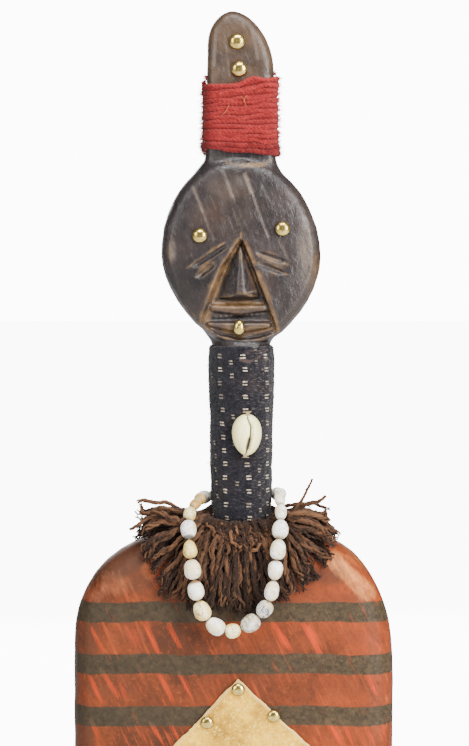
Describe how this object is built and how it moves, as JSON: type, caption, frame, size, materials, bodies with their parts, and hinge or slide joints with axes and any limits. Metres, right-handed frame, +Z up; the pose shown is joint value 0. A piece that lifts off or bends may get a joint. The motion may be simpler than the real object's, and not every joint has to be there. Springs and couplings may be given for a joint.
{
  "type": "namji doll",
  "caption": "Carved wooden paddle doll with a painted striped board body, long wrapped neck, flat carved face and crest, dressed with yarn, fringe, seed necklace, hide and tacks.",
  "frame": {"origin": "middle of the foot's underside, on the surface that the doll stands on", "axes": "+Z up the doll to its crest, its face looks along -Y, +X to the right as the face is seen"},
  "size_m": [0.1944, 0.092, 0.6507],
  "materials": {
    "dark_wood": "smoke-dark carved wood, worn light on its edges; the board painted ochre red with dark stripes",
    "red_yarn": "fuzzy red yarn",
    "indigo_cloth": "coarse dark indigo cloth with cream weft dashes",
    "brown_fibre": "twisted brown fibre",
    "pale_hide": "mottled tan hide",
    "brass": "polished brass",
    "cowrie_shell": "polished cream shell",
    "white_seed": "hard white seed with grey and tan marks",
    "thread": "plain twisted thread"
  },
  "bodies": {
    "root": {"carved_figure": "dark_wood", "crest_yarn": "red_yarn", "neck_cloth": "indigo_cloth", "cowrie_shell": "cowrie_shell", "fringe": "brown_fibre", "hide_patch": "pale_hide", "crest_tack_1": "brass", "crest_tack_2": "brass", "eye_tack_left": "brass", "eye_tack_right": "brass", "mouth_tack": "brass", "necklace_string": "thread", "patch_tack_01": "brass", "patch_tack_02": "brass", "patch_tack_03": "brass", "patch_tack_04": "brass", "patch_tack_05": "brass", "patch_tack_06": "brass", "patch_tack_07": "brass", "patch_tack_08": "brass", "patch_tack_09": "brass", "patch_tack_10": "brass", "patch_tack_11": "brass", "patch_tack_12": "brass", "necklace_bead_01": "white_seed", "necklace_bead_02": "white_seed", "necklace_bead_03": "white_seed", "necklace_bead_04": "white_seed", "necklace_bead_05": "white_seed", "necklace_bead_06": "white_seed", "necklace_bead_07": "white_seed", "necklace_bead_08": "white_seed", "necklace_bead_09": "white_seed", "necklace_bead_10": "white_seed", "necklace_bead_11": "white_seed", "necklace_bead_12": "white_seed", "necklace_bead_13": "white_seed", "necklace_bead_14": "white_seed", "necklace_bead_15": "white_seed", "necklace_bead_16": "white_seed", "necklace_bead_17": "white_seed", "necklace_bead_18": "white_seed", "necklace_bead_19": "white_seed", "necklace_bead_20": "white_seed", "necklace_bead_21": "white_seed", "necklace_bead_22": "white_seed", "necklace_bead_23": "white_seed"}
  },
  "joints": []
}
